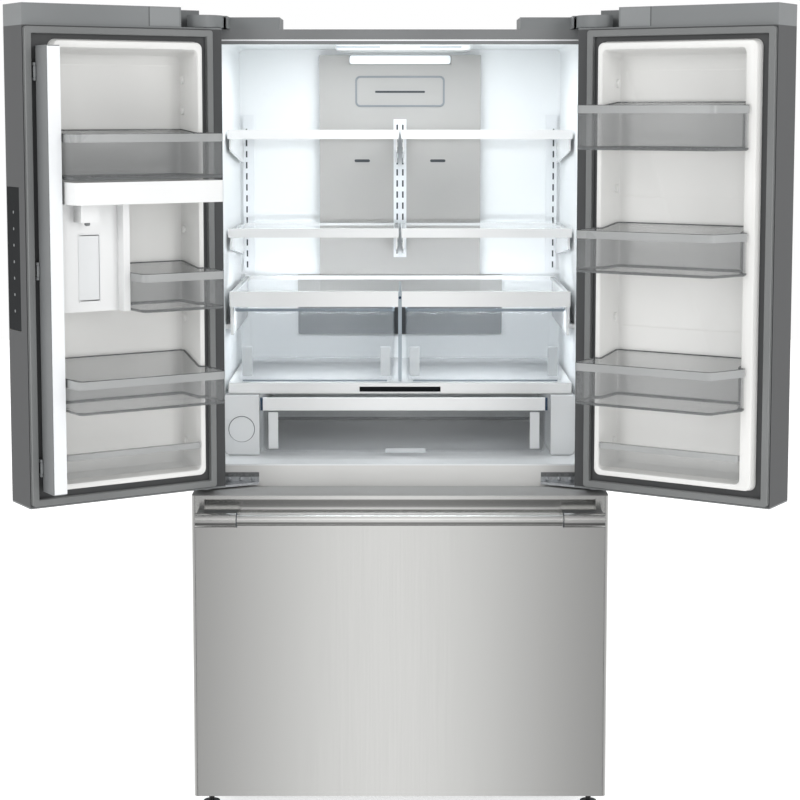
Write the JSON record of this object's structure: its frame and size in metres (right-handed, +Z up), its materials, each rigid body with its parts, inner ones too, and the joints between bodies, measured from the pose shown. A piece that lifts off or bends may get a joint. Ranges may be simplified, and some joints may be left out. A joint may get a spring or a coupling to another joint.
{
  "type": "french door refrigerator",
  "caption": "Refrigerator with side-hinged double doors standing open, lit shelves, crispers and door bins above a wide freezer drawer with a bar handle.",
  "frame": {"origin": "on the floor, midway between the cabinet's sides, under the cabinet's front plane", "axes": "+X to the right of a person facing the refrigerator, +Y from the front to the back, +Z up"},
  "size_m": [1.6592, 1.1204, 1.778],
  "materials": {
    "grey_steel": "grey textured paint",
    "zinc_steel": "zinc coated sheet",
    "foam": "rigid insulating foam",
    "white_liner": "white vacuum-formed sheet",
    "door_liner": "warm white vacuum-formed sheet",
    "white_trim": "glossy white moulding",
    "white_metal": "white powder coat",
    "satin_panel": "satin silver paint",
    "grey_trim": "grey moulding",
    "light_plastic": "light grey moulding",
    "grey_plastic": "grey moulding",
    "dark_gloss": "dark touch panel",
    "clear_glass": "clear tempered glass",
    "smoky_clear": "smoky clear plastic",
    "blue_clear": "bluish clear plastic",
    "plated_steel": "zinc plated",
    "stainless": "vertical brushed satin",
    "black_rubber": "black rubber",
    "gasket_rubber": "grey flexible seal",
    "black_iron": "black enamel",
    "bare_aluminium": "bare fins",
    "black_plastic": "black moulding",
    "basket_plastic": "white basket moulding",
    "roller_nylon": "natural nylon"
  },
  "bodies": {
    "cabinet": {"cabinet_wrapper": "grey_steel", "back_panel": "zinc_steel", "base_pan": "zinc_steel", "cabinet_foam": "foam", "fresh_food_liner": "white_liner", "freezer_liner": "white_liner", "divider_cover": "white_trim", "air_tower": "satin_panel", "shelf_standards": "white_metal", "shelf_frames": "white_trim", "glass_panes": "clear_glass", "crisper_cover": "white_trim", "crisper_divider": "grey_trim", "deli_cover": "white_trim", "control_display": "dark_gloss", "drawer_housings": "light_plastic", "top_hinges": "plated_steel", "hinge_covers": "grey_plastic", "centre_hinges": "plated_steel", "front_feet": "black_rubber", "compressor": "black_iron", "condenser": "black_iron", "evaporator": "bare_aluminium", "evaporator_cover": "white_liner", "fan_motors": "black_plastic", "water_valve": "light_plastic", "freezer_slides": "plated_steel"},
    "left_door": {"left_door_skin": "stainless", "left_door_caps": "grey_plastic", "left_door_foam": "foam", "left_door_liner": "door_liner", "left_door_gasket": "gasket_rubber", "left_door_bins": "smoky_clear", "dispenser_unit": "white_trim", "control_panel": "dark_gloss", "left_door_handle": "stainless", "mullion_hinges": "plated_steel"},
    "right_door": {"right_door_skin": "stainless", "right_door_caps": "grey_plastic", "right_door_foam": "foam", "right_door_liner": "door_liner", "right_door_gasket": "gasket_rubber", "right_door_bins": "smoky_clear", "right_door_handle": "stainless"},
    "mullion": {"mullion_bar": "white_metal"},
    "paddle": {"dispenser_paddle": "light_plastic"},
    "drawer": {"drawer_skin": "stainless", "drawer_foam": "foam", "drawer_liner": "door_liner", "drawer_gasket": "gasket_rubber", "drawer_handle": "stainless", "drawer_basket": "basket_plastic"},
    "basket": {"upper_basket": "basket_plastic"},
    "crisper_l": {"crisper_left": "blue_clear"},
    "crisper_r": {"crisper_right": "blue_clear"},
    "deli": {"deli_drawer": "smoky_clear"},
    "filter": {"water_filter": "light_plastic"},
    "rollers": {"rear_rollers": "roller_nylon"},
    "fan_c": {"condenser_fan": "black_plastic"},
    "fan_e": {"evaporator_fan": "light_plastic"}
  },
  "joints": [
    {"name": "left_door_hinge", "type": "hinge", "parent": "cabinet", "child": "left_door", "pos_m": [-0.4285, -0.064, 1.2], "axis": [0, 0, -1], "range_deg": [-147.5, 0]},
    {"name": "right_door_hinge", "type": "hinge", "parent": "cabinet", "child": "right_door", "pos_m": [0.4285, -0.064, 1.2], "axis": [0, 0, 1], "range_deg": [-147.5, 0]},
    {"name": "mullion_flip", "type": "hinge", "parent": "left_door", "child": "mullion", "pos_m": [-0.73539, -0.33261, 1.236], "axis": [0, 0, 1], "range_deg": [-90, 0]},
    {"name": "drawer_slide", "type": "slide", "parent": "cabinet", "child": "drawer", "axis": [0, -1, 0], "range_m": [0, 0.4]},
    {"name": "basket_slide", "type": "slide", "parent": "cabinet", "child": "basket", "axis": [0, -1, 0], "range_m": [0, 0.28]},
    {"name": "crisper_left_slide", "type": "slide", "parent": "cabinet", "child": "crisper_l", "axis": [0, -1, 0], "range_m": [0, 0.3]},
    {"name": "crisper_right_slide", "type": "slide", "parent": "cabinet", "child": "crisper_r", "axis": [0, -1, 0], "range_m": [0, 0.3]},
    {"name": "deli_slide", "type": "slide", "parent": "cabinet", "child": "deli", "axis": [0, -1, 0], "range_m": [0, 0.3]},
    {"name": "filter_push", "type": "slide", "parent": "cabinet", "child": "filter", "axis": [0, 1, 0], "range_m": [0, 0.004], "stiffness_N_per_m": 1500},
    {"name": "paddle_push", "type": "slide", "parent": "left_door", "child": "paddle", "axis": [-0.5373, 0.8434, 0], "range_m": [0, 0.004], "stiffness_N_per_m": 400},
    {"name": "roller_spin", "type": "hinge", "parent": "cabinet", "child": "rollers", "pos_m": [0, 0.64, 0.025], "axis": [1, 0, 0], "continuous": true},
    {"name": "condenser_fan_spin", "type": "hinge", "parent": "cabinet", "child": "fan_c", "pos_m": [-0.12, 0.58, 0.15], "axis": [1, 0, 0], "continuous": true},
    {"name": "evaporator_fan_spin", "type": "hinge", "parent": "cabinet", "child": "fan_e", "pos_m": [0, 0.528, 0.61], "axis": [0, 1, 0], "continuous": true}
  ],
  "couplings": [
    {"joint": "mullion_flip", "follows": "left_door_hinge", "ratio": 0.61},
    {"joint": "basket_slide", "follows": "drawer_slide", "ratio": 0.7}
  ]
}
